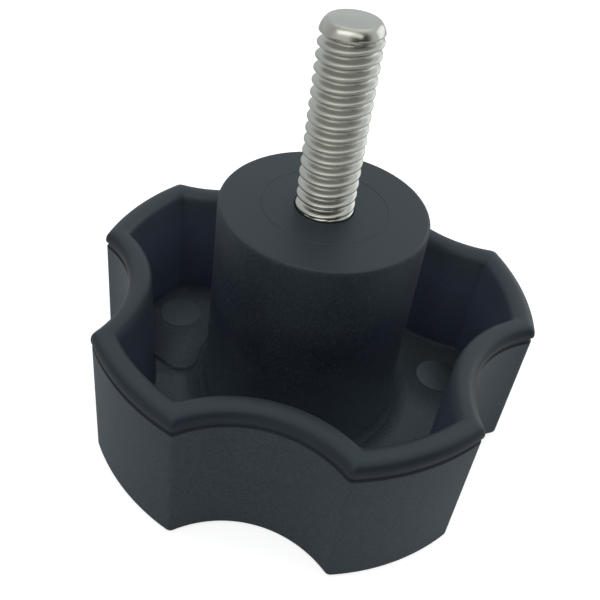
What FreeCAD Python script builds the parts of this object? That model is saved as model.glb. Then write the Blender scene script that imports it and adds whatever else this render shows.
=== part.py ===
import FreeCAD, Part
import math
import os

# Five-lobed clamping knob with a threaded stud moulded into its boss.
# Millimetres. The origin is the centre of the flat head face, +Z runs up the stud,
# and +Y runs through the middle of one lobe. The hollow side looks up, along +Z.

V = FreeCAD.Vector
Z_AXIS = V(0, 0, 1)

# Lobed skirt, seen from above, at the outer face of the wall
LOBES = 5
LOBE_RADIUS = 25.0
SCALLOP_RADIUS = 12.0
SCALLOP_AXIS_RADIUS = 32.3
FIRST_LOBE_ANGLE = 90.0

# Skirt wall, seen in section
PARTING_HEIGHT = 16.35
OUTER_DRAFT = 0.3
HEAD_EDGE_RADIUS = 0.6
WALL = 2.5
INNER_DRAFT = 1.0
FLOOR_THICKNESS = 2.5

# Rounded rim bead above the parting line, a little proud of the wall below it
BEAD_OVERHANG = 0.1
BEAD_SIDE = 0.15
BEAD_OUTER_RADIUS = 1.2
BEAD_INNER_RADIUS = 1.1

# Central boss, which carries the clamping face
BOSS_HEIGHT = 28.15
BOSS_RADIUS = 11.2
BOSS_DRAFT = 0.3
BOSS_EDGE_RADIUS = 0.4
BOSS_FOOT_RADIUS = 0.8

# Round ejector pads on the floor, one in each lobe
PAD_PLACE_RADIUS = 17.9
PAD_RADIUS = 2.6
PAD_HEIGHT = 0.3

# Raised plate on the floor of one lobe, under its pad
PLATE_LOBE = 1
PLATE_HEIGHT = 0.45
PLATE_HALF_WIDTH = 8.2
PLATE_FOOT_GAP = 0.4
PLATE_CORNER_RADIUS = 2.0

# Stud: a hexagon-headed screw, its head and plain shank held in the moulding
STUD_RADIUS = 3.125
STUD_EXPOSED = 20.35
STUD_HELD = 11.45
SHANK_RADIUS = 2.76
LEAD_LENGTH = 0.35
TIP_RADIUS = 2.3
TIP_LENGTH = 0.85
HEX_SIDE_COUNT = 6
HEX_ACROSS_FLATS = 11.1
HEX_THICKNESS = 4.0

# Narrow tapered mouth that the mould leaves around the shank in the boss face
MOUTH_RADIUS = 3.35
MOUTH_DEPTH = 0.35

# Each rounded edge is drawn as this many narrow flats, so that the part stays light to mesh
HEAD_EDGE_FLAT_COUNT = 2
BEAD_FLAT_COUNT = 3
BOSS_EDGE_FLAT_COUNT = 2
BOSS_FOOT_FLAT_COUNT = 2

# How far a cutting shape runs past the surface that it cuts
PAST = 1.0

# Two lengths nearer than this count as the same
SAME_LENGTH = 0.001

# Values that follow from the sizes above
LOBE_STEP = 360.0 / LOBES
RIM_HEIGHT = PARTING_HEIGHT + BEAD_SIDE + BEAD_OUTER_RADIUS


def slope(angle):
    return math.tan(math.radians(angle))


def boss_radius_at(height):
    return BOSS_RADIUS + (BOSS_HEIGHT - height) * slope(BOSS_DRAFT)


def line(start, end):
    return Part.LineSegment(V(start[0], 0, start[1]), V(end[0], 0, end[1])).toShape()


def on_circle(centre, radius, angle):
    turn = math.radians(angle)
    return (centre[0] + radius * math.cos(turn), centre[1] + radius * math.sin(turn))


def rounded(centre, radius, first, last, flats):
    """A rounded corner in the section plane, from one direction to another, in degrees."""
    points = []
    for i in range(flats + 1):
        points.append(on_circle(centre, radius, first + (last - first) * i / flats))
    return [line(start, end) for start, end in zip(points, points[1:])]


def revolved(side, low, high):
    """Solid of revolution about Z of the area between Z and a side that runs from low to high."""
    closing = [
        line(high, (0, high[1])),
        line((0, high[1]), (0, low[1])),
        line((0, low[1]), low),
    ]
    face = Part.Face(Part.Wire(side + closing))
    return face.revolve(V(0, 0, 0), Z_AXIS, 360)


def around(shape, angle):
    copy = shape.copy()
    copy.rotate(V(0, 0, 0), Z_AXIS, angle)
    return copy


def lobe_angle(index):
    return FIRST_LOBE_ANGLE + index * LOBE_STEP


def at_scallops(shape):
    shape.translate(V(SCALLOP_AXIS_RADIUS, 0, 0))
    return [around(shape, lobe_angle(i) + LOBE_STEP / 2) for i in range(LOBES)]


def outer_form(base_radius, outward, lowest, highest):
    """Turned solid bounded by the outer side of the wall section.

    The section is the same round a lobe and round a scallop. Round a lobe it grows
    away from the axis (outward is 1), and round a scallop towards it (outward is -1).
    """
    draft = math.radians(OUTER_DRAFT)
    radius = HEAD_EDGE_RADIUS
    edge_centre_t = -(PARTING_HEIGHT - radius) * slope(OUTER_DRAFT) - radius / math.cos(draft)
    bead_centre_t = BEAD_OVERHANG - BEAD_OUTER_RADIUS
    bead_foot = PARTING_HEIGHT + BEAD_SIDE

    def place(t):
        return base_radius + outward * t

    def turn(angle):
        return angle if outward > 0 else 180 - angle

    edge_centre = (place(edge_centre_t), radius)
    edge_low = on_circle(edge_centre, radius, turn(-90))
    edge_high = on_circle(edge_centre, radius, turn(-OUTER_DRAFT))
    bead_centre = (place(bead_centre_t), bead_foot)
    bead_high = on_circle(bead_centre, BEAD_OUTER_RADIUS, turn(90))
    side = rounded(edge_centre, radius, turn(-90), turn(-OUTER_DRAFT), HEAD_EDGE_FLAT_COUNT)
    side += [
        line(edge_high, (place(0), PARTING_HEIGHT)),
        line((place(0), PARTING_HEIGHT), (place(BEAD_OVERHANG), PARTING_HEIGHT)),
        line((place(BEAD_OVERHANG), PARTING_HEIGHT), (place(BEAD_OVERHANG), bead_foot)),
    ]
    side += rounded(bead_centre, BEAD_OUTER_RADIUS, turn(0), turn(90), BEAD_FLAT_COUNT)
    low, high = edge_low, bead_high
    if lowest < 0:
        low = (edge_low[0], lowest)
        side.insert(0, line(low, edge_low))
    if highest > RIM_HEIGHT:
        high = (bead_high[0], highest)
        side.append(line(bead_high, high))
    return revolved(side, low, high)


def inner_form(base_radius, outward, lowest, highest):
    """Turned solid bounded by the inner side of the wall section, from floor to rim."""
    curve_foot = RIM_HEIGHT - BEAD_INNER_RADIUS

    def place(t):
        return base_radius + outward * t

    def inner_t(height):
        return -WALL - (curve_foot - height) * slope(INNER_DRAFT)

    curve_centre = (place(-WALL + BEAD_INNER_RADIUS), curve_foot)
    first = 180 if outward > 0 else 0
    low = (place(inner_t(lowest)), lowest)
    crest = on_circle(curve_centre, BEAD_INNER_RADIUS, 90)
    high = (crest[0], highest)
    side = [line(low, (place(-WALL), curve_foot))]
    side += rounded(curve_centre, BEAD_INNER_RADIUS, first, 90, BEAD_FLAT_COUNT)
    side.append(line(crest, high))
    return revolved(side, low, high)


def lobed_block():
    block = outer_form(LOBE_RADIUS, 1, 0, RIM_HEIGHT)
    scallop = outer_form(SCALLOP_RADIUS, -1, -PAST, RIM_HEIGHT + PAST)
    return block.cut(at_scallops(scallop))


def lobed_pocket():
    pocket = inner_form(LOBE_RADIUS, 1, FLOOR_THICKNESS, RIM_HEIGHT + PAST)
    scallop = inner_form(SCALLOP_RADIUS, -1, FLOOR_THICKNESS - PAST, RIM_HEIGHT + 2 * PAST)
    return pocket.cut(at_scallops(scallop))


def boss():
    """Boss column from the floor up, with a rounded foot and a rounded top edge."""
    foot_radius = boss_radius_at(FLOOR_THICKNESS) + BOSS_FOOT_RADIUS
    foot_centre = (foot_radius, FLOOR_THICKNESS + BOSS_FOOT_RADIUS)
    foot_top = on_circle(foot_centre, BOSS_FOOT_RADIUS, 180)
    edge_centre = (BOSS_RADIUS - BOSS_EDGE_RADIUS, BOSS_HEIGHT - BOSS_EDGE_RADIUS)
    edge_foot = on_circle(edge_centre, BOSS_EDGE_RADIUS, 0)
    low = (foot_radius, 0)
    high = on_circle(edge_centre, BOSS_EDGE_RADIUS, 90)
    side = [line(low, (foot_radius, FLOOR_THICKNESS))]
    side += rounded(foot_centre, BOSS_FOOT_RADIUS, 270, 180, BOSS_FOOT_FLAT_COUNT)
    side.append(line(foot_top, edge_foot))
    side += rounded(edge_centre, BOSS_EDGE_RADIUS, 0, 90, BOSS_EDGE_FLAT_COUNT)
    return revolved(side, low, high)


def pads():
    """Round pads, all as high above what they stand on, which is the plate in one lobe."""
    raised = []
    for index in range(LOBES):
        foot = FLOOR_THICKNESS + (PLATE_HEIGHT if index == PLATE_LOBE else 0)
        pad = Part.makeCylinder(PAD_RADIUS, foot + PAD_HEIGHT, V(PAD_PLACE_RADIUS, 0, 0))
        raised.append(around(pad, lobe_angle(index)))
    return raised


def plate(pocket):
    """Raised slab on the floor of a lobe, clipped by the pocket so that it meets the walls."""
    inner = boss_radius_at(FLOOR_THICKNESS) + BOSS_FOOT_RADIUS + PLATE_FOOT_GAP
    height = FLOOR_THICKNESS + PLATE_HEIGHT
    slab = Part.makeBox(LOBE_RADIUS, 2 * PLATE_HALF_WIDTH, height, V(0, -PLATE_HALF_WIDTH, 0))
    slab = slab.cut(Part.makeCylinder(inner, height))
    corners = []
    for edge in slab.Edges:
        ends = [vertex.Point for vertex in edge.Vertexes]
        upright = len(ends) == 2 and abs(ends[0].z - ends[1].z) > SAME_LENGTH
        if upright and abs(math.hypot(ends[0].x, ends[0].y) - inner) < SAME_LENGTH:
            corners.append(edge)
    slab = slab.makeFillet(PLATE_CORNER_RADIUS, corners)
    return around(slab, lobe_angle(PLATE_LOBE)).common(pocket)


def hexagon_head(base):
    corner_radius = HEX_ACROSS_FLATS / 2 / math.cos(math.pi / HEX_SIDE_COUNT)
    corners = []
    for i in range(HEX_SIDE_COUNT + 1):
        turn = 2 * math.pi * i / HEX_SIDE_COUNT
        corners.append(V(corner_radius * math.cos(turn), corner_radius * math.sin(turn), base))
    return Part.Face(Part.makePolygon(corners)).extrude(V(0, 0, HEX_THICKNESS))


def threaded_stud():
    """Screw with its head down in the boss. The full diameter starts just above the boss face."""
    head_base = BOSS_HEIGHT - STUD_HELD - HEX_THICKNESS
    tip = BOSS_HEIGHT + STUD_EXPOSED
    points = [
        (SHANK_RADIUS, head_base),
        (SHANK_RADIUS, BOSS_HEIGHT),
        (STUD_RADIUS, BOSS_HEIGHT + LEAD_LENGTH),
        (STUD_RADIUS, tip - TIP_LENGTH),
        (TIP_RADIUS, tip),
    ]
    side = [line(start, end) for start, end in zip(points, points[1:])]
    turned = revolved(side, points[0], points[-1])
    return turned.fuse(hexagon_head(head_base)).removeSplitter()


def stud_mouth():
    """Tapered ring between the shank and the boss face."""
    return Part.makeCone(SHANK_RADIUS, MOUTH_RADIUS, MOUTH_DEPTH, V(0, 0, BOSS_HEIGHT - MOUTH_DEPTH))


def knob_body(stud):
    """One moulding: skirt, floor, boss, pads and plate, closed round the stud."""
    pocket = lobed_pocket()
    body = lobed_block().cut(pocket)
    body = body.fuse([boss(), plate(pocket)] + pads()).removeSplitter()
    return body.cut([stud, stud_mouth()])


def one_solid(shape):
    if len(shape.Solids) != 1:
        raise ValueError("expected one solid, found %d" % len(shape.Solids))
    return shape.Solids[0]


def main():
    stud = one_solid(threaded_stud())
    body = one_solid(knob_body(stud))
    os.makedirs("parts", exist_ok=True)
    for name, shape in (("knob_body", body), ("threaded_stud", stud)):
        shape.exportStep("parts/" + name + ".step")
        print(name, "valid", shape.isValid(), "faces", len(shape.Faces), "volume", round(shape.Volume, 1))


main()
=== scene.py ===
# %% [markdown]
# # A five-lobed clamping knob with a threaded stud
#
# The real knob is two pieces. One is a black plastic moulding: a hollow skirt with five
# lobes, a rounded rim, and a tall round boss in the middle. The other is a stainless
# screw whose head is buried in the boss, so that only its thread stands out. The script
# first loads the measured solid model as a frame, and then builds both pieces again with
# finer shapes and with materials. Everything is in metres, in the frame's own axes: the
# flat head face is at height zero, and the stud points up along Z.

# %% Load the frame
import math
from functools import partial

import bmesh
import bpy
import numpy as np
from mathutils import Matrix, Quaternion, Vector


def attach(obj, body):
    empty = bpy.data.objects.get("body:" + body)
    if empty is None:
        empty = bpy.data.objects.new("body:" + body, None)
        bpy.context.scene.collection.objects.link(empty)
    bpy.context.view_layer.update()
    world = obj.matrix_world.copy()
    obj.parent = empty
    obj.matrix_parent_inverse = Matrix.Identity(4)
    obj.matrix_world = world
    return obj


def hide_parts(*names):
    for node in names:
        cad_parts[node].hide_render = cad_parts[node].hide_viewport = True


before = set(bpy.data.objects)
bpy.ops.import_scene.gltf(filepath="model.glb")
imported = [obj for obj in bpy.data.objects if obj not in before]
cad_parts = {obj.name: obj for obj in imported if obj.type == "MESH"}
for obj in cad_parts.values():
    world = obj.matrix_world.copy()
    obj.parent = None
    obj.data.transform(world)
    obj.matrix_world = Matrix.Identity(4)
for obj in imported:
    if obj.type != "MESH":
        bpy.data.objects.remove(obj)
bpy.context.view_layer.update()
print("nodes:", sorted(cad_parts))

# %% [markdown]
# ## The sizes that drive the shape
#
# The solid model is made from these lengths, so the visual model repeats them, written in
# millimetres and turned to metres once. Finer details get their sizes where they are made.

# %% Name the driving sizes
MM = 0.001

LOBES = 5
LOBE_STEP = math.radians(360 / LOBES)
FIRST_LOBE = math.radians(90)
LOBE_RADIUS = 25.0 * MM
SCALLOP_RADIUS = 12.0 * MM
SCALLOP_AXIS = 32.3 * MM

PARTING_HEIGHT = 16.35 * MM
OUTER_DRAFT = math.tan(math.radians(0.3))
INNER_DRAFT = math.tan(math.radians(1.0))
HEAD_EDGE = 0.6 * MM
WALL = 2.5 * MM
FLOOR = 2.5 * MM
BEAD_OVERHANG = 0.1 * MM
BEAD_SIDE = 0.15 * MM
BEAD_OUTER = 1.2 * MM
BEAD_INNER = 1.1 * MM
RIM_HEIGHT = PARTING_HEIGHT + BEAD_SIDE + BEAD_OUTER

BOSS_HEIGHT = 28.15 * MM
BOSS_RADIUS = 11.2 * MM
BOSS_DRAFT = math.tan(math.radians(0.3))
BOSS_EDGE = 0.4 * MM
BOSS_FOOT = 0.8 * MM

CREST_RADIUS = 3.12 * MM
SHANK_RADIUS = 2.76 * MM
STUD_TOP = 48.5 * MM
HEAD_BASE = 12.7 * MM
HEX_THICKNESS = 4.0 * MM
HEX_ACROSS_FLATS = 11.1 * MM
HEAD_TOP = HEAD_BASE + HEX_THICKNESS

# %% [markdown]
# ## The lobed outline
#
# Seen from above, the skirt is five arcs about the knob's axis and five hollow arcs, the
# finger scallops, about axes outside the knob. Where they meet there is a small rounded
# corner. A spline could be drawn by hand, but an outline from true arcs stays exact at
# any distance from the wall, so the same function gives every ring of the wall section.

# %% Work out one ring of the skirt
LOBE_STEPS = 24
CORNER_STEPS = 6
SCALLOP_STEPS = 40


def arc_points(centre, radius, start, end, steps):
    turns = np.linspace(start, end, steps, endpoint=False)
    return np.column_stack((centre[0] + radius * np.cos(turns), centre[1] + radius * np.sin(turns)))


def turned(points, angle):
    cos, sin = math.cos(angle), math.sin(angle)
    return points @ np.array(((cos, sin), (-sin, cos)))


def lobed_outline(outward, corner):
    """Closed outline at a distance outward of the wall's outer face, with rounded corners."""
    near = LOBE_RADIUS + outward - corner
    far = SCALLOP_RADIUS - outward + corner
    bearing = math.acos((SCALLOP_AXIS**2 + near**2 - far**2) / (2 * SCALLOP_AXIS * near))
    first = (near * math.cos(bearing), near * math.sin(bearing))
    to_scallop = math.atan2(-first[1], SCALLOP_AXIS - first[0])
    last_bearing = LOBE_STEP - bearing
    last = (near * math.cos(last_bearing), near * math.sin(last_bearing))
    scallop = (SCALLOP_AXIS * math.cos(LOBE_STEP), SCALLOP_AXIS * math.sin(LOBE_STEP))
    into_scallop = LOBE_STEP - to_scallop
    out_of_scallop = LOBE_STEP + to_scallop
    sector = np.concatenate((
        arc_points(first, corner, to_scallop, bearing, CORNER_STEPS),
        arc_points((0, 0), LOBE_RADIUS + outward, bearing, last_bearing, LOBE_STEPS),
        arc_points(last, corner, last_bearing, into_scallop, CORNER_STEPS),
        arc_points(scallop, SCALLOP_RADIUS - outward, into_scallop + math.pi,
                   out_of_scallop + math.pi, SCALLOP_STEPS),
    ))
    start = FIRST_LOBE - LOBE_STEP / 2
    return np.concatenate([turned(sector, start + k * LOBE_STEP) for k in range(LOBES)])


def at_height(outline, height):
    return np.column_stack((outline, np.full(len(outline), height)))


def lobed_ring(outward, height, corner):
    return at_height(lobed_outline(outward, corner), height)


RING_POINTS = len(lobed_outline(0, 0.4 * MM))
print("points in a ring:", RING_POINTS)

# %% [markdown]
# ## From the head face up to the rim
#
# The moulding is a stack of such rings. They start on the flat head face, round its
# edge, and climb the drafted wall. At the parting line, where the two halves of the mould
# met, the rim stands a little proud over a fine recess. The recess, darkened further by
# painted shade set later with the paleness, draws the thin dark line round the real knob.
# A bevel on a plain wall would miss that line. Extra rings close to each bend hold the
# shading flat on the flat faces.

# %% Build the outer side and the rim
WALL_CORNER = 0.65 * MM
CREST_CORNER = 0.9 * MM
HOLD = 0.15 * MM
PARTING_RECESS = 0.15 * MM
RECESS_HEIGHT = 0.75 * MM
RECESS_EASE = 0.07 * MM
LIP = 0.06 * MM
HEAD_INSET = 1.2 * MM
OUTER_LEVELS = (6 * MM, 11 * MM)


def quarter(centre, radius, start, end, steps):
    """Points of an arc in the wall section, as pairs of outward distance and height."""
    turns = np.radians(np.linspace(start, end, steps + 1))
    return [(centre[0] + radius * math.cos(a), centre[1] + radius * math.sin(a)) for a in turns]


def wall_offset(height):
    return -(PARTING_HEIGHT - height) * OUTER_DRAFT


def outer_section():
    """Section from the head face to the crest of the rim: outward, height and corner radius."""
    edge_centre = (wall_offset(HEAD_EDGE) - HEAD_EDGE, HEAD_EDGE)
    head = [(edge_centre[0] - HEAD_INSET, 0), (edge_centre[0] - HOLD, 0)]
    head += quarter(edge_centre, HEAD_EDGE, -90, 0, 7)
    wall_end = PARTING_HEIGHT - RECESS_HEIGHT - RECESS_EASE
    levels = (HEAD_EDGE + HOLD, *OUTER_LEVELS, wall_end - HOLD, wall_end)
    wall = [(wall_offset(height), height) for height in levels]
    bead_foot = PARTING_HEIGHT + BEAD_SIDE
    lip_centre = (BEAD_OVERHANG - LIP, PARTING_HEIGHT + LIP)
    recess = [(-PARTING_RECESS, PARTING_HEIGHT - RECESS_HEIGHT), (-PARTING_RECESS, PARTING_HEIGHT)]
    rim = quarter(lip_centre, LIP, -90, 0, 4)
    rim += quarter((BEAD_OVERHANG - BEAD_OUTER, bead_foot), BEAD_OUTER, 0, 90, 10)
    section = [(t, h, WALL_CORNER) for t, h in head + wall + recess]
    for t, h in rim:
        share = max(0, (BEAD_OVERHANG - t) / BEAD_OUTER)
        section.append((t, h, WALL_CORNER + share * (CREST_CORNER - WALL_CORNER)))
    return section


outer_rings = [lobed_ring(*place) for place in outer_section()]
print("rings on the outer side:", len(outer_rings))

# %% [markdown]
# ## Down into the hollow
#
# From the crest the rings go down the inner wall to the floor. On the floor they change
# from the lobed outline to a circle, point by point. The mould's core was turned on a
# lathe, and its tool left fine rings round the boss's foot. A bump texture could draw them,
# but the mesh has rings there anyway, so they are real grooves, 0.05 mm deep.

# %% Build the inner wall and the floor
INNER_CORNER = 0.35 * MM
INNER_FOOT = 0.4 * MM
FOOT_RIPPLES = 8
FOOT_RIPPLE_STEP = 0.2 * MM
FOOT_RIPPLE_DEPTH = 0.05 * MM
RIPPLE_SECTION = ((0, 0), (0.35, 0.6), (0.6, 1), (0.85, 0.3))
RIPPLE_MARGIN = 0.1 * MM
FLOOR_SHARES = (0.25, 0.5, 0.75)
INNER_LEVELS = (13 * MM, 8 * MM)


def boss_radius(height):
    return BOSS_RADIUS + (BOSS_HEIGHT - height) * BOSS_DRAFT


def inner_section():
    """Section from the crest down the inner wall to the floor."""
    curve_foot = RIM_HEIGHT - BEAD_INNER
    curve = quarter((-WALL + BEAD_INNER, curve_foot), BEAD_INNER, 90, 180, 8)
    crest = [(t, h, CREST_CORNER) for t, h in curve]
    low = FLOOR + INNER_FOOT
    wall = []
    for height in (curve_foot - HOLD, *INNER_LEVELS, low + HOLD, low):
        wall.append((-WALL - (curve_foot - height) * INNER_DRAFT, height, INNER_CORNER))
    foot_offset = wall[-1][0]
    foot = quarter((foot_offset - INNER_FOOT, low), INNER_FOOT, 0, -90, 4)[1:]
    foot.append((foot_offset - INNER_FOOT - HOLD, FLOOR))
    return crest + wall + [(t, h, INNER_CORNER) for t, h in foot]


inner_rings = [lobed_ring(*place) for place in inner_section()]
bearings = np.arctan2(inner_rings[-1][:, 1], inner_rings[-1][:, 0])


def round_ring(radius, height):
    """A ring at the inner foot's bearings. The radius is one number or one for each point."""
    heights = np.full(RING_POINTS, height)
    return np.column_stack((radius * np.cos(bearings), radius * np.sin(bearings), heights))


def between(first, last, share):
    return first + (last - first) * share


foot_radius = boss_radius(FLOOR) + BOSS_FOOT
ripple_start = foot_radius + FOOT_RIPPLES * FOOT_RIPPLE_STEP
floor_edge = round_ring(ripple_start + RIPPLE_MARGIN, FLOOR)
floor_rings = [between(inner_rings[-1], floor_edge, share) for share in FLOOR_SHARES]
floor_rings.append(floor_edge)
for k in range(FOOT_RIPPLES):
    outer = ripple_start - k * FOOT_RIPPLE_STEP
    for share, depth in RIPPLE_SECTION:
        ripple_radius = outer - share * FOOT_RIPPLE_STEP
        floor_rings.append(round_ring(ripple_radius, FLOOR - depth * FOOT_RIPPLE_DEPTH))
print("rings on the inner wall and floor:", len(inner_rings) + len(floor_rings))

# %% [markdown]
# ## Close the moulding round the stud
#
# The boss is drafted and has a rounded edge. The seam of a round insert in the mould shows
# on its face as a thin circle, made as a fine groove. The plastic wraps the screw's shank
# and its hexagon head. Nobody sees that space, but a mesh that stops at the boss face would
# be an open shell, and a printed copy would have no hole for the screw. So the rings carry
# on down a narrow mouth and out round the head, and end in one point, as the head face does.

# %% Build the boss and the hidden pocket
SEAM_RADIUS = 6.7 * MM
SEAM_WIDTH = 0.13 * MM
SEAM_DEPTH = 0.05 * MM
SEAM_SECTION = ((0.75, 0), (0.5, 0), (0, 1), (-0.5, 0), (-0.75, 0))
MOUTH_RADIUS = 3.18 * MM
MOUTH_DEPTH = 0.8 * MM
MOUTH_FOOT = 3.14 * MM
MOUTH_EDGE = 0.08 * MM
MOUTH_STEP = 0.05 * MM
BOSS_LEVELS = (10 * MM, 16 * MM, 22 * MM)
POCKET_FLOOR_RADII = (2 * MM, 0.5 * MM)
HEAD_FACE_RADII = (0.6 * MM, 3 * MM)
HEAD_FACE_SHARES = (0.35, 0.7, 0.92)


def hexagon_ring(height):
    """The screw head's hexagon, followed at the same bearings as the round rings."""
    side = math.radians(60)
    within = np.mod(bearings, side) - side / 2
    return round_ring(HEX_ACROSS_FLATS / 2 / np.cos(within), height)


levels = (FLOOR + BOSS_FOOT + HOLD, *BOSS_LEVELS, BOSS_HEIGHT - BOSS_EDGE - HOLD)
profile = quarter((foot_radius, FLOOR + BOSS_FOOT), BOSS_FOOT, 270, 180, 5)
profile += [(boss_radius(height), height) for height in levels]
profile += quarter((BOSS_RADIUS - BOSS_EDGE, BOSS_HEIGHT - BOSS_EDGE), BOSS_EDGE, 0, 90, 6)
profile.append((BOSS_RADIUS - BOSS_EDGE - HOLD, BOSS_HEIGHT))
for shift, depth in SEAM_SECTION:
    profile.append((SEAM_RADIUS + shift * SEAM_WIDTH, BOSS_HEIGHT - depth * SEAM_DEPTH))
profile += [
    (MOUTH_RADIUS + 3 * HOLD, BOSS_HEIGHT),
    (MOUTH_RADIUS + MOUTH_EDGE, BOSS_HEIGHT),
    (MOUTH_RADIUS, BOSS_HEIGHT - MOUTH_EDGE),
    (MOUTH_FOOT, BOSS_HEIGHT - MOUTH_DEPTH),
    (SHANK_RADIUS, BOSS_HEIGHT - MOUTH_DEPTH - MOUTH_STEP),
    (SHANK_RADIUS, HEAD_TOP),
]
boss_rings = [round_ring(*place) for place in profile]
boss_rings += [hexagon_ring(height) for height in (HEAD_TOP, HEAD_BASE)]
boss_rings += [round_ring(radius, HEAD_BASE) for radius in POCKET_FLOOR_RADII]

head_rings = [round_ring(radius, 0) for radius in HEAD_FACE_RADII]
head_rings += [between(head_rings[-1], outer_rings[0], share) for share in HEAD_FACE_SHARES]
print("rings on the boss:", len(boss_rings), "and on the head face:", len(head_rings))

# %% [markdown]
# ## Skin the rings
#
# All rings have the same number of points, so one loop makes the quads between each
# ring and the next. The first and last rings are closed with a fan of triangles to one
# middle point. Building the mesh from arrays is quicker than extruding step by step, and
# the order of the corners already makes every face point outwards.

# %% Make the mesh of the moulding
def skinned(name, rings, low_pole, high_pole):
    count = len(rings[0])
    points = np.concatenate(rings + [np.array([low_pole, high_pole])])
    low, high = len(points) - 2, len(points) - 1
    last = (len(rings) - 1) * count
    faces = []
    for i in range(count):
        j = (i + 1) % count
        faces.append((low, j, i))
        faces.append((last + i, last + j, high))
        for row in range(0, last, count):
            faces.append((row + i, row + j, row + count + j, row + count + i))
    mesh = bpy.data.meshes.new(name)
    mesh.from_pydata(points.tolist(), [], faces)
    mesh.update()
    return mesh


def made(name, mesh):
    piece = bpy.data.objects.new(name, mesh)
    bpy.context.scene.collection.objects.link(piece)
    return piece


all_rings = head_rings + outer_rings + inner_rings + floor_rings + boss_rings
knob = made("knob_moulding", skinned("knob_moulding", all_rings, (0, 0, 0), (0, 0, HEAD_BASE)))
print("moulding:", len(all_rings), "rings,", len(knob.data.polygons), "faces")

# %% [markdown]
# ## The ejector pads, once per lobe
#
# A low round pad stands on the floor of each lobe, where a pin pushed the warm moulding
# out of the mould. The five are the same, so Geometry Nodes make one pad and set copies
# round the knob's axis. The tree's inputs are the pad's sizes, so a reader can change one
# number and see all five follow. First come helpers that write any tree in few lines.

# %% Start a Geometry Nodes tree with named inputs
FLOAT, INTEGER, VECTOR = "NodeSocketFloat", "NodeSocketInt", "NodeSocketVector"
MATERIAL, GEOMETRY = "NodeSocketMaterial", "NodeSocketGeometry"


def new_tree(name, kind, inputs, outputs):
    """A node tree. Inputs are label, kind and default, and outputs are label and kind."""
    tree = bpy.data.node_groups.new(name, kind)
    for label, socket_kind, value in inputs:
        socket = tree.interface.new_socket(label, in_out="INPUT", socket_type=socket_kind)
        if value is not None:
            socket.default_value = value
    for label, socket_kind in outputs:
        tree.interface.new_socket(label, in_out="OUTPUT", socket_type=socket_kind)
    return tree


def shape_tree(name, sizes):
    """A Geometry Nodes tree whose inputs are sizes, as label and default, and a material."""
    inputs = [(label, INTEGER if isinstance(size, int) else FLOAT, size) for label, size in sizes]
    inputs.append(("Material", MATERIAL, None))
    return new_tree(name, "GeometryNodeTree", inputs, [("Geometry", GEOMETRY)])


def node(tree, kind, links=None, **settings):
    """Adds a node, sets its properties and joins or fills its inputs by name or number."""
    made_node = tree.nodes.new(kind)
    for key, value in settings.items():
        setattr(made_node, key, value)
    for key, value in (links or {}).items():
        socket = made_node.inputs[key]
        if isinstance(value, bpy.types.NodeSocket):
            tree.links.new(value, socket)
        else:
            socket.default_value = value
    return made_node


def math_node(tree, operation, *values):
    """The result of a Math node."""
    return node(tree, "ShaderNodeMath", dict(enumerate(values)), operation=operation).outputs[0]


def mapped(tree, value, low, high, to_low, to_high, curve="LINEAR"):
    """A value taken from one range to another, in a straight line by default."""
    return node(tree, "ShaderNodeMapRange", {
        "Value": value, "From Min": low, "From Max": high, "To Min": to_low, "To Max": to_high,
    }, interpolation_type=curve).outputs[0]


def eased(tree, *ranges):
    """As mapped, but starting and ending gently."""
    return mapped(tree, *ranges, curve="SMOOTHSTEP")


# %% [markdown]
# The next helpers make, turn, lift and join shapes. The last one runs a tree and keeps the
# plain mesh that comes out.

# %% Name the shapes that the trees share
def disc(tree, steps, radius):
    return node(tree, "GeometryNodeMeshCircle", {
        "Vertices": steps, "Radius": radius,
    }, fill_type="TRIANGLE_FAN").outputs[0]


def flipped(tree, shape):
    return node(tree, "GeometryNodeFlipFaces", {"Mesh": shape}).outputs[0]


def lifted(tree, shape, height, turn=0.0):
    """A shape moved up and turned about Z."""
    up = node(tree, "ShaderNodeCombineXYZ", {"Z": height}).outputs[0]
    spin = node(tree, "ShaderNodeCombineXYZ", {"Z": turn}).outputs[0]
    return node(tree, "GeometryNodeTransform", {
        "Geometry": shape, "Translation": up, "Rotation": spin,
    }).outputs[0]


def welded(tree, shapes, distance):
    """Joins shapes and merges the points that they share."""
    joined = node(tree, "GeometryNodeJoinGeometry")
    for shape in shapes:
        tree.links.new(shape, joined.inputs[0])
    return node(tree, "GeometryNodeMergeByDistance", {
        "Geometry": joined.outputs[0], "Distance": distance,
    }).outputs[0]


def finished_tree(tree, given, shape):
    """Ends a tree: copies become real geometry, which takes the material."""
    real = node(tree, "GeometryNodeRealizeInstances", {"Geometry": shape}).outputs[0]
    coated = node(tree, "GeometryNodeSetMaterial", {
        "Geometry": real, "Material": given["Material"],
    })
    node(tree, "NodeGroupOutput", {"Geometry": coated.outputs[0]})
    return tree


def grown(tree, name, material):
    """Runs a tree on an empty object and returns its plain mesh."""
    carrier = made(name, bpy.data.meshes.new(name))
    modifier = carrier.modifiers.new(name, "NODES")
    modifier.node_group = tree
    for item in tree.interface.items_tree:
        if item.in_out == "INPUT" and item.name == "Material":
            modifier[item.identifier] = material
    depsgraph = bpy.context.evaluated_depsgraph_get()
    mesh = bpy.data.meshes.new_from_object(carrier.evaluated_get(depsgraph))
    carrier.modifiers.remove(modifier)
    bpy.data.objects.remove(carrier)
    return mesh


# %% [markdown]
# One pad is a cylinder's side, a flat cone for the crowned edge, and a disc at each end.
# Its foot runs a little into the floor, so that joining pad and floor leaves no film of
# air between them. The pad that stands on the raised plate is lifted by the plate's height.

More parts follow.
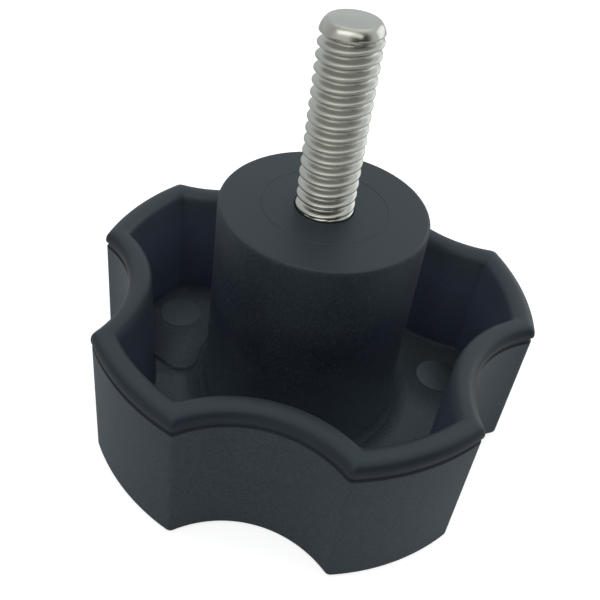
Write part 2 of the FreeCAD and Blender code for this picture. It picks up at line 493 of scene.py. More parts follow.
# %% Make the five pads
PAD_PLACE = 17.9 * MM
PAD_RADIUS = 2.6 * MM
PAD_HEIGHT = 0.3 * MM
PAD_CROWN_INSET = 0.8 * MM
PAD_CROWN_HEIGHT = 0.16 * MM
PLATE_LOBE = 1
PLATE_HEIGHT = 0.45 * MM
SUNK = 0.3 * MM
PAD_STEPS = 56
PAD_WELD = 0.001 * MM


def pad_tree():
    tree = shape_tree("ejector_pads", [
        ("Count", LOBES), ("First Angle", FIRST_LOBE), ("Place Radius", PAD_PLACE),
        ("Pad Radius", PAD_RADIUS), ("Pad Height", PAD_HEIGHT + SUNK),
        ("Crown Inset", PAD_CROWN_INSET), ("Crown Height", PAD_CROWN_HEIGHT),
        ("Plate Lobe", PLATE_LOBE), ("Plate Height", PLATE_HEIGHT), ("Foot Height", FLOOR - SUNK),
    ])
    given = node(tree, "NodeGroupInput").outputs
    calc = partial(math_node, tree)
    pad_radius, pad_height = given["Pad Radius"], given["Pad Height"]
    crown_height = given["Crown Height"]
    inset = calc("SUBTRACT", pad_radius, given["Crown Inset"])
    side_height = calc("SUBTRACT", pad_height, crown_height)
    side = node(tree, "GeometryNodeMeshCylinder", {
        "Vertices": PAD_STEPS, "Radius": pad_radius, "Depth": side_height,
    }, fill_type="NONE").outputs["Mesh"]
    edge = node(tree, "GeometryNodeMeshCone", {
        "Vertices": PAD_STEPS, "Radius Top": inset, "Radius Bottom": pad_radius,
        "Depth": crown_height,
    }, fill_type="NONE").outputs["Mesh"]
    pad = welded(tree, (
        lifted(tree, side, calc("DIVIDE", side_height, 2.0)),
        lifted(tree, edge, side_height),
        lifted(tree, disc(tree, PAD_STEPS, inset), pad_height),
        flipped(tree, disc(tree, PAD_STEPS, pad_radius)),
    ), PAD_WELD)
    index = node(tree, "GeometryNodeInputIndex").outputs[0]
    share = calc("DIVIDE", calc("MULTIPLY", index, math.tau), given["Count"])
    turn = calc("ADD", given["First Angle"], share)
    x = calc("MULTIPLY", given["Place Radius"], calc("COSINE", turn))
    y = calc("MULTIPLY", given["Place Radius"], calc("SINE", turn))
    on_plate = calc("COMPARE", index, given["Plate Lobe"], 0.5)
    raised = calc("MULTIPLY", on_plate, given["Plate Height"])
    z = calc("ADD", given["Foot Height"], raised)
    place = node(tree, "ShaderNodeCombineXYZ", {"X": x, "Y": y, "Z": z}).outputs[0]
    points = node(tree, "GeometryNodePoints", {
        "Count": given["Count"], "Position": place,
    }).outputs[0]
    copies = node(tree, "GeometryNodeInstanceOnPoints", {"Points": points, "Instance": pad})
    return finished_tree(tree, given, copies.outputs[0])


black_plastic = bpy.data.materials.new("black_plastic")
pads = made("pads", grown(pad_tree(), "pads", black_plastic))
print("pads:", len(pads.data.polygons), "faces")

# %% [markdown]
# ## The raised plate in one lobe
#
# One lobe's floor is about half a millimetre higher than the rest, with a soft front edge
# and a gap before the boss's foot. It is cut from the same outline as the inner wall, so
# that it meets the wall all the way round, and its two free sides are straight and parallel.

# %% Make the plate
PLATE_HALF_WIDTH = 8.2 * MM
PLATE_GAP = 0.4 * MM
PLATE_CORNER = 2.0 * MM
PLATE_EDGE = 0.12 * MM
PLATE_EDGE_SHARE = 0.3
INTO_WALL = 0.3 * MM
PLATE_MIDDLE = FIRST_LOBE + PLATE_LOBE * LOBE_STEP


def plate_outline(inset):
    """The plate from above, its free sides pulled in by inset and its back inside the wall."""
    front = foot_radius + PLATE_GAP + inset
    side = PLATE_HALF_WIDTH - inset
    corner_y = side - PLATE_CORNER
    corner_x = math.sqrt((front + PLATE_CORNER)**2 - corner_y**2)
    centre_turn = math.atan2(corner_y, corner_x)
    floor_offset = -WALL - (RIM_HEIGHT - BEAD_INNER - FLOOR) * INNER_DRAFT
    wall = turned(lobed_outline(floor_offset + INTO_WALL, INNER_CORNER), -PLATE_MIDDLE)
    back = wall[(wall[:, 0] > corner_x) & (np.abs(wall[:, 1]) < PLATE_HALF_WIDTH - PLATE_EDGE)]
    back = back[np.argsort(np.arctan2(back[:, 1], back[:, 0]))]
    corner = arc_points((corner_x, corner_y), PLATE_CORNER, math.pi / 2, centre_turn + math.pi, 7)
    middle = arc_points((0, 0), front, centre_turn, -centre_turn, 24)
    outline = np.concatenate((back, corner, middle, corner[::-1] * np.array((1, -1))))
    return turned(outline, PLATE_MIDDLE)


def prism(name, outlines):
    """Closed solid from a stack of outlines, each with its height, and flat ends."""
    rings = [at_height(*level) for level in outlines]
    count = len(rings[0])
    last = (len(rings) - 1) * count
    faces = [tuple(range(count - 1, -1, -1)), tuple(range(last, last + count))]
    for row in range(0, last, count):
        for i in range(count):
            j = (i + 1) % count
            faces.append((row + i, row + j, row + count + j, row + count + i))
    mesh = bpy.data.meshes.new(name)
    mesh.from_pydata(np.concatenate(rings).tolist(), [], faces)
    return made(name, mesh)


plate_top = FLOOR + PLATE_HEIGHT
edge_part = PLATE_EDGE_SHARE * PLATE_EDGE
plate = prism("plate", [
    (plate_outline(0), FLOOR - SUNK),
    (plate_outline(0), plate_top - PLATE_EDGE),
    (plate_outline(edge_part), plate_top - edge_part),
    (plate_outline(PLATE_EDGE), plate_top),
])
print("plate:", len(plate.data.polygons), "faces")

# %% [markdown]
# ## Join pads and plate to the moulding
#
# In the mould all of this is one shot of plastic, so it should be one closed skin. A
# Boolean union cuts away what lies inside, which simply joining the meshes would
# leave behind as hidden walls. The second helper counts the edges that don't have exactly
# two faces, because one open edge would spoil a printed or simulated copy.

# %% Unite the pieces
def united(piece, *others):
    """Adds other pieces to one by Boolean union, applies it, and removes them."""
    for other in others:
        modifier = piece.modifiers.new("union", "BOOLEAN")
        modifier.operation = "UNION"
        modifier.solver = "EXACT"
        modifier.object = other
        depsgraph = bpy.context.evaluated_depsgraph_get()
        mesh = bpy.data.meshes.new_from_object(piece.evaluated_get(depsgraph))
        piece.modifiers.remove(modifier)
        piece.data = mesh
        bpy.data.objects.remove(other)


def skin_report(piece):
    """Faces, edges without exactly two faces, and volume, in words."""
    work = bmesh.new()
    work.from_mesh(piece.data)
    loose = sum(1 for edge in work.edges if len(edge.link_faces) != 2)
    volume = work.calc_volume(signed=True) / MM**3
    work.free()
    return f"{len(piece.data.polygons)} faces, {loose} open edges, {volume:.1f} cubic mm"


united(knob, plate, pads)
print("moulding:", skin_report(knob))

# %% [markdown]
# ## The rolled thread
#
# The stud's thread is rolled between dies, so its crests and roots are rounded. Its shape
# follows a rule: the radius depends on how far a point lies along the helix, and near the
# ends on its height. Geometry Nodes can state that directly. A flat grid is bent round the
# axis, and each column starts a little higher than the one before it, so that the rows
# follow the helix. A screw modifier would make the helix as well, but not the rounded tip,
# the plain collar at the boss or the run-out, where the groove grows shallow and ends.

# %% Work out the thread's radius
PITCH = 1.27 * MM
ROOT_RADIUS = 2.47 * MM
THREAD_LOW = BOSS_HEIGHT - 0.7 * MM
THREAD_FOOT = 2.9 * MM
TIP_RADIUS = 2.35 * MM
TIP_LENGTH = 1.15 * MM
COLLAR_HEIGHT = 0.78 * MM
COLLAR_SLOPE = 0.5 * MM
RUN_OUT = 0.9 * MM
STEPS_AROUND = 96
STEPS_PER_TURN = 20
START_TURN = math.radians(139)
ROUND_SHARE = 0.06
TIP_ROUNDNESS = 0.6
RUN_OUT_START = 0.7
THREAD_WELD = 0.0005 * MM


def thread_radius(tree, given, along, height):
    """Radius at a distance along the helix, counted in turns, and at a height."""
    calc = partial(math_node, tree)
    low_end, high_end = given["Low End"], given["High End"]
    crest, root = given["Crest Radius"], given["Root Radius"]
    tip_radius, tip_length = given["Tip Radius"], given["Tip Length"]
    doubled = calc("MULTIPLY", calc("FRACT", along), 2.0)
    from_middle = calc("ABSOLUTE", calc("SUBTRACT", doubled, 1.0))
    ridge = calc("SUBTRACT", 1.0, from_middle)
    profile = eased(tree, ridge, ROUND_SHARE, 1 - ROUND_SHARE, root, crest)
    down = calc("MINIMUM", calc("DIVIDE", calc("SUBTRACT", high_end, height), tip_length), 1.0)
    curve = calc("SQRT", calc("MULTIPLY", down, calc("SUBTRACT", 2.0, down)))
    rounded = calc("MULTIPLY", curve, TIP_ROUNDNESS)
    bend = calc("ADD", rounded, calc("MULTIPLY", down, 1 - TIP_ROUNDNESS))
    tip_limit = calc("ADD", tip_radius, calc("MULTIPLY", bend, calc("SUBTRACT", crest, tip_radius)))
    foot_limit = calc("ADD", given["Foot Radius"], calc("SUBTRACT", height, low_end))
    from_collar = calc("SUBTRACT", height, calc("ADD", low_end, given["Collar Height"]))
    run_out = calc("SUBTRACT", high_end, calc("MULTIPLY", tip_length, RUN_OUT_START))
    foot_share = calc("DIVIDE", from_collar, given["Collar Slope"])
    tip_share = calc("DIVIDE", calc("SUBTRACT", run_out, height), given["Run Out"])
    filled = eased(tree, calc("MINIMUM", foot_share, tip_share), 0.0, 1.0, crest, root)
    threaded = calc("MAXIMUM", profile, filled)
    return calc("MINIMUM", threaded, calc("MINIMUM", tip_limit, foot_limit))


# %% [markdown]
# The tree bends the grid round the axis with that radius. A disc closes each end, and the
# points that grid and discs share are merged, so that the thread is one closed skin. The
# grid is a turn longer than the stud, and what reaches past an end is pressed flat onto it.

# %% Bend a grid into the thread
def thread_tree():
    tree = shape_tree("rolled_thread", [
        ("Pitch", PITCH), ("Crest Radius", CREST_RADIUS), ("Root Radius", ROOT_RADIUS),
        ("Low End", THREAD_LOW), ("High End", STUD_TOP), ("Foot Radius", THREAD_FOOT),
        ("Tip Radius", TIP_RADIUS), ("Tip Length", TIP_LENGTH), ("Start Turn", START_TURN),
        ("Steps Around", STEPS_AROUND), ("Steps Per Turn", STEPS_PER_TURN),
        ("Collar Height", COLLAR_HEIGHT), ("Collar Slope", COLLAR_SLOPE), ("Run Out", RUN_OUT),
    ])
    given = node(tree, "NodeGroupInput").outputs
    calc = partial(math_node, tree)
    low_end, high_end = given["Low End"], given["High End"]
    length = calc("SUBTRACT", high_end, low_end)
    turns = calc("ADD", calc("CEIL", calc("DIVIDE", length, given["Pitch"])), 1.0)
    grid = node(tree, "GeometryNodeMeshGrid", {
        "Size X": 1.0, "Size Y": 1.0, "Vertices X": calc("ADD", given["Steps Around"], 1.0),
        "Vertices Y": calc("ADD", calc("MULTIPLY", turns, given["Steps Per Turn"]), 1.0),
    })
    position = node(tree, "GeometryNodeInputPosition").outputs[0]
    place = node(tree, "ShaderNodeSeparateXYZ", {0: position}).outputs
    around = calc("ADD", place["X"], 0.5)
    along = calc("MULTIPLY", calc("ADD", place["Y"], 0.5), turns)
    climbed = calc("MULTIPLY", calc("SUBTRACT", calc("ADD", along, around), 1.0), given["Pitch"])
    height = calc("ADD", low_end, climbed)
    ends = {"Value": height, "Min": low_end, "Max": high_end}
    kept = node(tree, "ShaderNodeClamp", ends).outputs[0]
    radius = thread_radius(tree, given, along, kept)
    turn = calc("ADD", calc("MULTIPLY", around, math.tau), given["Start Turn"])
    x = calc("MULTIPLY", radius, calc("COSINE", turn))
    y = calc("MULTIPLY", radius, calc("SINE", turn))
    target = node(tree, "ShaderNodeCombineXYZ", {"X": x, "Y": y, "Z": kept}).outputs[0]
    bent = node(tree, "GeometryNodeSetPosition", {
        "Geometry": grid.outputs["Mesh"], "Position": target,
    }).outputs[0]
    tip = disc(tree, given["Steps Around"], given["Tip Radius"])
    foot = flipped(tree, disc(tree, given["Steps Around"], given["Foot Radius"]))
    thread = welded(tree, (
        bent,
        lifted(tree, tip, high_end, given["Start Turn"]),
        lifted(tree, foot, low_end, given["Start Turn"]),
    ), THREAD_WELD)
    return finished_tree(tree, given, thread)


stainless_steel = bpy.data.materials.new("stainless_steel")
stud = made("stud_thread", grown(thread_tree(), "stud_thread", stainless_steel))
print("thread:", skin_report(stud))

# %% [markdown]
# ## The buried head and shank
#
# Below the boss face the screw is plain: a shank of the blank's diameter, and a hexagon
# head, chamfered below, that keeps it from turning in the plastic. Both are prisms that
# overlap a little, united with the thread because the real screw is one piece of steel.

# %% Add shank and head to the thread
HEX_CHAMFER = 0.35 * MM
SHANK_STEPS = 64
HEAD_LAP = 1 * MM
THREAD_LAP = 0.3 * MM


def circle(radius, count):
    return arc_points((0, 0), radius, 0, math.tau, count)


def hexagon(across_flats):
    return circle(across_flats / 2 / math.cos(math.radians(30)), 6)


head = prism("screw_head", [
    (hexagon(HEX_ACROSS_FLATS - 2 * HEX_CHAMFER), HEAD_BASE),
    (hexagon(HEX_ACROSS_FLATS), HEAD_BASE + HEX_CHAMFER),
    (hexagon(HEX_ACROSS_FLATS), HEAD_TOP),
])
shank = prism("screw_shank", [
    (circle(SHANK_RADIUS, SHANK_STEPS), HEAD_TOP - HEAD_LAP),
    (circle(SHANK_RADIUS, SHANK_STEPS), THREAD_LOW + THREAD_LAP),
])
united(stud, shank, head)
print("stud:", skin_report(stud))

# %% [markdown]
# ## Shading
#
# Rounded edges should shade smoothly and true corners should stay crisp. Marking edges
# sharper than a set angle does both in one step. The normals are worked out again here,
# after the unions, so that every face looks outwards, and each piece takes its material.
# Then it is hung under the frame's root, and the part of the solid model that it stands
# for is hidden.

# %% Smooth the shading
def shaded(piece, name, material, sharp_angle):
    mesh = piece.data
    work = bmesh.new()
    work.from_mesh(mesh)
    bmesh.ops.recalc_face_normals(work, faces=work.faces)
    work.to_mesh(mesh)
    work.free()
    mesh.materials.clear()
    mesh.materials.append(material)
    mesh.polygons.foreach_set("material_index", [0] * len(mesh.polygons))
    mesh.shade_smooth()
    mesh.set_sharp_from_angle(angle=math.radians(sharp_angle))
    mesh.name = name
    piece.name = name


shaded(knob, "knob_moulding", black_plastic, 35)
shaded(stud, "screw", stainless_steel, 50)
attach(knob, "root")
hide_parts("knob_body")
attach(stud, "root")
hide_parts("threaded_stud")

# %% [markdown]
# ## Three numbers for every point of the plastic
#
# The walls were spark-eroded in the mould and have a fine grain, a little stronger on the
# floor. The rim and the boss's face are smoother. So each point carries its grain, its
# paleness, and whether it is on a wall inside the hollow, worked out from its place. The
# shader reads them as attributes. Painting by hand wouldn't follow a changed size.
#
# Not all of the paleness is the plastic's own. Some of it stands for light that these lamps
# don't give, such as the floor growing darker to the back of the right-hand pocket, and was
# set by comparing renders with a picture. It stays when the lamps change. One value for the
# whole attribute named pale takes it away.

# %% Tell the regions apart
SIDE_MARGIN = 0.3 * MM
RIM_MARGIN = 0.05 * MM
RECESS_MARGIN = 0.09 * MM
THIN = 0.1 * MM
FLOOR_REACH = (FLOOR - 0.2 * MM, FLOOR + 1.0 * MM)
FLOOR_DEPTH = 3.0 * MM
PAD_CLEARANCE = 1.0 * MM


def inside_wall(points, depth):
    """True for points that lie further in than this depth behind the skirt's outer face."""
    radius = np.hypot(points[:, 0], points[:, 1])
    turns = np.arctan2(points[:, 1], points[:, 0])
    from_lobe = np.mod(turns - FIRST_LOBE + LOBE_STEP / 2, LOBE_STEP) - LOBE_STEP / 2
    to_scallop = LOBE_STEP / 2 - np.abs(from_lobe)
    gap = np.sqrt(radius**2 + SCALLOP_AXIS**2 - 2 * radius * SCALLOP_AXIS * np.cos(to_scallop))
    return (radius < LOBE_RADIUS - depth) & (gap > SCALLOP_RADIUS + depth)


def regions_of(points):
    """Masks that say for each point whether it lies in a named region of the moulding."""
    height = points[:, 2]
    radius = np.hypot(points[:, 0], points[:, 1])
    turns = np.arctan2(points[:, 1], points[:, 0]) - PLATE_MIDDLE
    on_boss = radius < boss_radius(0) + SIDE_MARGIN
    within = inside_wall(points, WALL / 2)
    on_rim = (height > PARTING_HEIGHT - RIM_MARGIN) & ~on_boss
    below_rim = (height > PARTING_HEIGHT - RECESS_HEIGHT - RECESS_MARGIN) & ~on_rim & ~on_boss
    low, high = FLOOR_REACH
    on_floor = (height > low) & (height < high) & inside_wall(points, FLOOR_DEPTH)
    in_plate_lobe = np.cos(turns) > math.cos(LOBE_STEP / 2)
    on_plate = on_floor & in_plate_lobe & (radius > foot_radius + PLATE_GAP / 2)
    pad_level = FLOOR + THIN + np.where(on_plate, PLATE_HEIGHT, 0.0)
    on_pad = on_floor & (height > pad_level) & (radius > foot_radius + PAD_CLEARANCE)
    return {
        "within": within,
        "floor": on_floor,
        "plate": on_plate,
        "pad": on_pad,
        "plate_pad": on_pad & on_plate,
        "boss_side": on_boss & (height > FLOOR + BOSS_FOOT),
        "boss_face": on_boss & (height > BOSS_HEIGHT - THIN),
        "inner_rim": on_rim & within,
        "outer_rim": on_rim & ~within,
        "lip": on_rim & ~within & (height < PARTING_HEIGHT + THIN),
        "recess": below_rim & ~within,
        "hollow_wall": within & ~on_boss & ~on_rim & ~on_floor,
    }


# %% [markdown]
# The paleness runs along lines: across the knob on the outer walls, with height on the inner
# walls, the bead and the boss, and on the floor away from the boss and, on the right, to
# the back. Most of these lines are painted light and shade, and the floor, pads and plate
# are paler than the walls partly by painted light. Each line is a few pairs of place and
# value. Later regions of the list cover earlier ones, so a pad comes after the floor that it
# stands on.

# %% Give each point its numbers
# Painted light: the outer walls are paler towards the left and the right.
WALL_TONE_AND_PAINTED_LIGHT = ((-23 * MM, 0.95), (-8 * MM, 0.46), (8 * MM, 0.46), (21 * MM, 0.78))
# The inner walls' tone with painted shade: darker low in the hollow.
INNER_TONE_AND_PAINTED_SHADE = ((3 * MM, 0.35), (13 * MM, 0.8), (RIM_HEIGHT - BEAD_INNER, 0.9), (RIM_HEIGHT, 0.75))
# Painted light and shade on the bead: pale on its crest, dark on its underside.
BEAD_PAINTED_LIGHT_AND_SHADE = ((PARTING_HEIGHT, -0.15), (17.2 * MM, -0.08), (17.5 * MM, 0.45), (RIM_HEIGHT, 0.75))
# The boss side's tone with painted light: paler near its foot, down in the hollow.
BOSS_SIDE_TONE_AND_PAINTED_LIGHT = ((3 * MM, 0.8), (14 * MM, 0.16))
# Painted shade: the right-hand pocket's floor grows darker towards the back.
RIGHT_FLOOR_PAINTED_SHADE = ((6.5 * MM, 1.5), (10.5 * MM, 0.6))
# Painted light and shade on the right-hand pad: pale on its left side, dark on its right.
RIGHT_PAD_PAINTED_LIGHT_AND_SHADE = ((15 * MM, 1.75), (18 * MM, 0.7))
# Painted shade: the floor and the plate grow darker close to the boss's foot.
FOOT_SHADE = ((0, 0.25), (1, 1.0))
PLATE_SHADE = ((0.3, 0.7), (1.3, 1.0))
# The floor's, pads' and plate's tone with painted light from above: paler than the walls, the pads
# palest.
LEFT_FLOOR_TONE_AND_PAINTED_LIGHT, LEFT_PAD_TONE_AND_PAINTED_LIGHT, PLATE_TONE_AND_PAINTED_LIGHT = 1.5, 1.7, 1.1
LEFT_FADE, RIGHT_FADE = 2.4 * MM, 1.7 * MM


def toned(place, tones):
    """The value at a place on a line of pairs of place and value."""
    places, values = zip(*tones)
    return np.interp(place, places, values)


def surface_of(points):
    """Grain, paleness and the mark for the hollow's walls, one number of each per point."""
    x, y, height = points[:, 0], points[:, 1], points[:, 2]
    on_right = x > 0
    fade = (np.hypot(x, y) - foot_radius) / np.where(on_right, RIGHT_FADE, LEFT_FADE)
    floor_painted_light_and_shade = np.where(on_right, toned(y + 0.5 * x, RIGHT_FLOOR_PAINTED_SHADE), LEFT_FLOOR_TONE_AND_PAINTED_LIGHT)
    floor_painted_light_and_shade = floor_painted_light_and_shade * toned(fade, FOOT_SHADE)
    pad_painted_light_and_shade = np.where(on_right, toned(x, RIGHT_PAD_PAINTED_LIGHT_AND_SHADE), LEFT_PAD_TONE_AND_PAINTED_LIGHT)
    inner_tone_and_painted_shade = toned(height, INNER_TONE_AND_PAINTED_SHADE)
    grain_and_tone_with_painted_light = (
        ("within", 0.8, inner_tone_and_painted_shade), ("floor", 1.2, floor_painted_light_and_shade),
        ("plate", 1.0, PLATE_TONE_AND_PAINTED_LIGHT * toned(fade, PLATE_SHADE)), ("pad", 1.0, pad_painted_light_and_shade),
        ("plate_pad", 1.0, 1.4), ("boss_side", 0.8, toned(height, BOSS_SIDE_TONE_AND_PAINTED_LIGHT)),
        ("boss_face", 0.45, 0.72), ("inner_rim", 0.4, inner_tone_and_painted_shade),
        # Painted shade: the lip and the recess under the bead are set darker than the wall.
        ("outer_rim", 0.4, toned(height, BEAD_PAINTED_LIGHT_AND_SHADE)), ("lip", 0.5, -0.15), ("recess", 0.5, -0.25),
    )
    regions = regions_of(points)
    grain = np.full(len(points), 1.0)
    pale = toned(x, WALL_TONE_AND_PAINTED_LIGHT)
    for region, its_grain, its_tone in grain_and_tone_with_painted_light:
        where = regions[region]
        grain[where] = its_grain
        pale[where] = np.broadcast_to(its_tone, len(points))[where]
    return grain, pale, np.where(regions["hollow_wall"], 1.0, 0.0)


points = np.zeros(len(knob.data.vertices) * 3)
knob.data.vertices.foreach_get("co", points)
points = points.reshape(-1, 3)
grain, pale, inside = surface_of(points)
for label, values in (("grain", grain), ("pale", pale), ("inside", inside)):
    attribute = knob.data.attributes.new(label, "FLOAT", "POINT")
    attribute.data.foreach_set("value", values)
print("grain", grain.min(), "to", grain.max(), "and paleness", pale.min(), "to", pale.max())

# %% [markdown]
# ## A node group for fine grain
#
# Both materials have a fine texture, only at other sizes, so a group with named inputs
# keeps it in one place. It puts out a height for the Bump node, the bare fine noise, and a
# coarser noise that changes colour or roughness in patches.

# %% Build the grain group
def grain_group():
    group = new_tree("fine_grain", "ShaderNodeTree", [
        ("Place", VECTOR, None), ("Size", FLOAT, 0.25 * MM),
        ("Amount", FLOAT, 1.0), ("Patch Size", FLOAT, 6 * MM),
    ], [("Height", FLOAT), ("Fine", FLOAT), ("Patches", FLOAT)])
    given = node(group, "NodeGroupInput").outputs
    fine_scale = math_node(group, "DIVIDE", 1.0, given["Size"])
    fine = node(group, "ShaderNodeTexNoise", {
        "Vector": given["Place"], "Scale": fine_scale, "Detail": 2.0, "Roughness": 0.6,
    }).outputs[0]
    patch_scale = math_node(group, "DIVIDE", 1.0, given["Patch Size"])
    patches = node(group, "ShaderNodeTexNoise", {
        "Vector": given["Place"], "Scale": patch_scale, "Detail": 3.0, "Roughness": 0.5,
    }).outputs[0]
    height = math_node(group, "MULTIPLY", fine, given["Amount"])
    node(group, "NodeGroupOutput", {"Height": height, "Fine": fine, "Patches": patches})
    return group


FINE_GRAIN = grain_group()


def place_on_object(tree):
    return node(tree, "ShaderNodeTexCoord").outputs["Object"]


def use_grain(tree, place, size, amount, patch_size):
    return node(tree, "ShaderNodeGroup", {
        "Place": place, "Size": size, "Amount": amount, "Patch Size": patch_size,
    }, node_tree=FINE_GRAIN).outputs


print("nodes in the grain group:", len(FINE_GRAIN.nodes))

# %% [markdown]
# ## Black plastic
#
# Moulded black plastic is a very dark blue-grey with a dull shine, not a pure black. Its
# colour runs from a deep tone to the palest by the point's paleness, which holds painted
# light and shade as well as the plastic's own tone, with the grain and soft clouds added.
# On the walls inside the hollow the pale colour is bluer: painted shade. Roughness and
# bump follow the grain, so that the smooth rim shines more than the walls.

# %% Make the black plastic
def principled(material, plain):
    """Turns on a material's nodes and sets the inputs that are the same everywhere."""
    material.use_nodes = True
    shader = material.node_tree.nodes["Principled BSDF"]
    for label, value in plain.items():
        shader.inputs[label].default_value = value
    return material.node_tree, shader


def mixed(tree, factor, first, second):
    """A colour between two others. Mix has sockets for each type, told apart by identifier."""
    mix = node(tree, "ShaderNodeMix", data_type="RGBA")
    sockets = {socket.identifier: socket for socket in mix.inputs}
    for name, value in (("Factor_Float", factor), ("A_Color", first), ("B_Color", second)):
        if isinstance(value, bpy.types.NodeSocket):
            tree.links.new(value, sockets[name])
        else:
            sockets[name].default_value = value
    return next(socket for socket in mix.outputs if socket.identifier == "Result_Color")


DEEP_BLACK = (0.0080, 0.0110, 0.0170, 1)
PALE_BLACK = (0.0420, 0.0515, 0.0605, 1)
# A bluer pale black for the walls inside the hollow: painted shade.
PAINTED_SHADE_BLACK_WITHIN = (0.0440, 0.0500, 0.0760, 1)
PALEST_BLACK = (0.0900, 0.1080, 0.1250, 1)
PLASTIC_SHINE = {"Specular IOR Level": 0.36, "Specular Tint": (0.80, 0.95, 1.0, 1)}


def roughened(tree, shader, height, strength, distance):
    """Bends the shading as the slopes of a fine grain do."""
    bump = node(tree, "ShaderNodeBump", {
        "Strength": strength, "Distance": distance, "Height": height,
    })
    tree.links.new(bump.outputs["Normal"], shader.inputs["Normal"])


def point_value(tree, name):
    """One of the numbers that each point of the mesh carries."""
    return node(tree, "ShaderNodeAttribute", attribute_name=name).outputs["Fac"]


def fill_black_plastic(material):
    tree, shader = principled(material, PLASTIC_SHINE)
    grain_value = point_value(tree, "grain")
    grain = use_grain(tree, place_on_object(tree), 0.28 * MM, grain_value, 5 * MM)
    cloud = mapped(tree, grain["Patches"], 0.3, 0.7, -0.06, 0.06)
    spark = mapped(tree, grain["Height"], 0.35, 0.75, -0.15, 0.30)
    share = math_node(tree, "ADD", point_value(tree, "pale"), math_node(tree, "ADD", cloud, spark))
    # Painted shade: on the hollow's walls the pale colour turns bluer.
    pale = mixed(tree, point_value(tree, "inside"), PALE_BLACK, PAINTED_SHADE_BLACK_WITHIN)
    usual = mixed(tree, share, DEEP_BLACK, pale)
    # Paleness above one, much of it the painted light on the floor and pads, goes on towards the
    # palest black.
    beyond = math_node(tree, "SUBTRACT", share, 1.0)
    tree.links.new(mixed(tree, beyond, usual, PALEST_BLACK), shader.inputs["Base Color"])
    dull = mapped(tree, grain_value, 0.3, 1.0, 0.44, 0.56)
    uneven = mapped(tree, grain["Patches"], 0.3, 0.7, -0.03, 0.03)
    tree.links.new(math_node(tree, "ADD", dull, uneven), shader.inputs["Roughness"])
    roughened(tree, shader, grain["Height"], 0.5, 0.03 * MM)


fill_black_plastic(black_plastic)
print("plastic nodes:", len(black_plastic.node_tree.nodes))

# %% [markdown]
# ## Stainless steel
#
# A rolled thread is burnished by the dies: bright on the crests and flanks, with fine
# scratches that run round it. The grain group is pressed together in height, so that its
# specks lie across the stud, and it moves the roughness up and down. The steel is smoother
# near the tip and the boss, and it has a slight warm tone next to the cold black plastic.

# %% Make the stainless steel
DULL_STEEL = (0.46, 0.46, 0.42, 1)
BRIGHT_STEEL = (0.54, 0.54, 0.495, 1)
PRESSED = (1, 1, 3)


def fill_stainless_steel(material):
    tree, shader = principled(material, {"Metallic": 1.0})
    place = place_on_object(tree)
    pressed = node(tree, "ShaderNodeMapping", {"Vector": place, "Scale": PRESSED}).outputs[0]
    grain = use_grain(tree, pressed, 0.9 * MM, 1.0, 3 * MM)
    colour = mixed(tree, grain["Patches"], DULL_STEEL, BRIGHT_STEEL)
    tree.links.new(colour, shader.inputs["Base Color"])
    height = node(tree, "ShaderNodeSeparateXYZ", {0: place}).outputs["Z"]
    at_tip = mapped(tree, height, STUD_TOP - 1.7 * MM, STUD_TOP - 1.0 * MM, 0.0, 0.10)
    at_foot = mapped(tree, height, BOSS_HEIGHT + 0.5 * MM, BOSS_HEIGHT + 3.5 * MM, 0.10, 0.0)
    rolled = mapped(tree, grain["Fine"], 0.3, 0.7, 0.28, 0.34)
    polish = math_node(tree, "MAXIMUM", at_tip, at_foot)
    tree.links.new(math_node(tree, "SUBTRACT", rolled, polish), shader.inputs["Roughness"])
    roughened(tree, shader, grain["Height"], 0.015, 0.01 * MM)


fill_stainless_steel(stainless_steel)
print("steel nodes:", len(stainless_steel.node_tree.nodes))

# %% [markdown]
# ## The floor and the room
#
# The knob stands on a plain pale floor. Dull plastic shows its form by what it mirrors, and
# a room that is equally bright all round would flatten it. So the world is brighter behind
# the knob, overhead and to the right, with a dark patch at the front right and a pale one
# at the front left. Its colour goes from warm in front to cool behind. Seen by the camera
# itself, floor and world are plain white.

# %% Lay the floor and set the world
FLOOR_HALF = 3.0
FLOOR_GLOW = 0.65
DARK_SIDE = Vector((0.60, -0.74, 0.30)).normalized()
PALE_SIDE = Vector((-0.45, -0.87, 0.20)).normalized()
WARM, COOL, WHITE = (1, 0.99, 0.95, 1), (0.93, 0.985, 1, 1), (1, 1, 1, 1)

corners = [(x * FLOOR_HALF, y * FLOOR_HALF, 0) for x, y in ((-1, -1), (1, -1), (1, 1), (-1, 1))]
floor_mesh = bpy.data.meshes.new("studio_floor")
floor_mesh.from_pydata(corners, [], [(0, 1, 2, 3)])
floor = made("studio_floor", floor_mesh)
floor_paint = bpy.data.materials.new("pale_floor")
floor_tree, floor_shader = principled(floor_paint, {
    "Base Color": (0.66, 0.66, 0.66, 1), "Roughness": 0.9,
    "Specular IOR Level": 0.0, "Emission Color": WHITE,
})
floor_seen = node(floor_tree, "ShaderNodeLightPath").outputs["Is Camera Ray"]
glow = math_node(floor_tree, "MULTIPLY", floor_seen, FLOOR_GLOW)
floor_tree.links.new(glow, floor_shader.inputs["Emission Strength"])
floor.data.materials.append(floor_paint)


def facing(tree, direction, side):
    """1 where a direction points straight at a side, and 0 where it is square to it."""
    dot = node(tree, "ShaderNodeVectorMath", {0: direction, 1: side}, operation="DOT_PRODUCT")
    return dot.outputs["Value"]


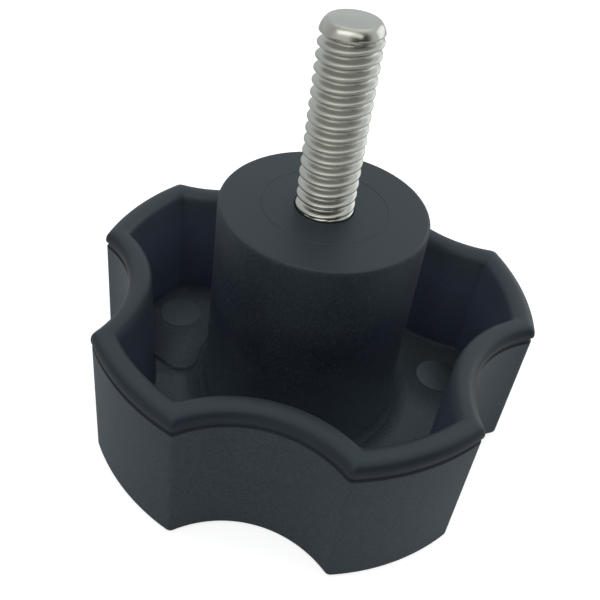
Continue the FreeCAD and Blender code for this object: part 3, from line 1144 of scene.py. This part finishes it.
world = bpy.data.worlds.new("room")
bpy.context.scene.world = world
world.use_nodes = True
room = world.node_tree
calc = partial(math_node, room)
background = room.nodes["Background"]
toward = node(room, "ShaderNodeTexCoord").outputs["Generated"]
ray = node(room, "ShaderNodeSeparateXYZ", {0: toward}).outputs
front_to_back = eased(room, ray["Y"], -0.6, 0.6, 0.50, 0.77)
overhead = eased(room, ray["Z"], 0.60, 0.97, 0.0, 0.35)
left_to_right = mapped(room, ray["X"], -1.0, 1.0, 0.9, 1.1)
dark_patch = eased(room, facing(room, toward, DARK_SIDE), 0.72, 0.95, 1.0, 0.06)
pale_patch = eased(room, facing(room, toward, PALE_SIDE), 0.70, 0.93, 1.0, 1.5)
patches = calc("MULTIPLY", dark_patch, pale_patch)
plain = calc("ADD", front_to_back, overhead)
lit = calc("MULTIPLY", plain, calc("MULTIPLY", left_to_right, patches))
seen = node(room, "ShaderNodeLightPath").outputs["Is Camera Ray"]
room.links.new(calc("MAXIMUM", lit, seen), background.inputs["Strength"])
tint = mixed(room, mapped(room, ray["Y"], -0.5, 0.5, 0.0, 1.0), WARM, COOL)
room.links.new(mixed(room, seen, tint, WHITE), background.inputs["Color"])
print("nodes in the room:", len(room.nodes))

# %% [markdown]
# ## Two soft boxes and two fills
#
# A long strip box hangs in front and above, and a second box stands behind on the right.
# Both are large and near, so their shadows are soft, and weak enough that the pale floor
# doesn't burn out. Two fills, one from each side, brighten the side faces of the lobes.
# They cast no shadow and aren't mirrored, so they add only to the dull part of the shading.

# %% Hang the lamps
LAMP_AIM = Vector((0, 0, 0.02))
FILL_COLOUR = (0.84, 0.93, 1.0)


def hung(name, data, direction):
    """Puts a lamp or camera in the scene, pointed along a direction."""
    holder = bpy.data.objects.new(name, data)
    holder.rotation_mode = "QUATERNION"
    holder.rotation_quaternion = direction.to_track_quat("-Z", "Y")
    bpy.context.scene.collection.objects.link(holder)
    return holder


def soft_box(name, place, size, power):
    lamp = bpy.data.lights.new(name, "AREA")
    lamp.shape = "RECTANGLE"
    lamp.size, lamp.size_y = size
    lamp.energy = power
    hung(name, lamp, LAMP_AIM - Vector(place)).location = place


def fill_light(name, travel, power):
    lamp = bpy.data.lights.new(name, "SUN")
    lamp.energy = power
    lamp.color = FILL_COLOUR
    lamp.use_shadow = False
    hung(name, lamp, Vector(travel)).visible_glossy = False


soft_box("strip_light", (-0.02, -0.33, 0.36), (0.8, 0.16), 0.5)
soft_box("side_box", (0.42, 0.40, 0.14), (0.5, 0.4), 0.5)
fill_light("left_fill", (0.93, 0.34, -0.10), 1.0)
fill_light("right_fill", (-0.93, 0.34, -0.10), 0.95)
print("lamps:", len(bpy.data.lights))

# %% [markdown]
# ## The camera
#
# The camera looks down on the knob from in front. Its place, aim, roll and lens come from
# matching corners of the rim, the boss and the thread to a picture. The small roll makes
# the stud lean as it should, and the lens is shifted, because the knob wasn't in the middle
# of that picture.

# %% Set the camera
CAMERA_PLACE = Vector((6.195, -67.856, 73.662)) * MM
CAMERA_AIM = Vector((-5.156, 0, 24.101)) * MM
CAMERA_ROLL = math.radians(6.683)
CAMERA_LENS = 46.809
CAMERA_SHIFT = (0.04465, -0.12326)

camera_data = bpy.data.cameras.new("camera")
camera = hung("camera", camera_data, CAMERA_AIM - CAMERA_PLACE)
camera.location = CAMERA_PLACE
camera.rotation_quaternion = camera.rotation_quaternion @ Quaternion((0, 0, 1), CAMERA_ROLL)
camera_data.sensor_width = 36
camera_data.lens = CAMERA_LENS
camera_data.shift_x, camera_data.shift_y = CAMERA_SHIFT
camera_data.clip_start = 1 * MM
camera_data.clip_end = 20
bpy.context.scene.camera = camera
bpy.context.scene.view_settings.view_transform = "Standard"
print("camera at", tuple(CAMERA_PLACE), "with a lens of", CAMERA_LENS)
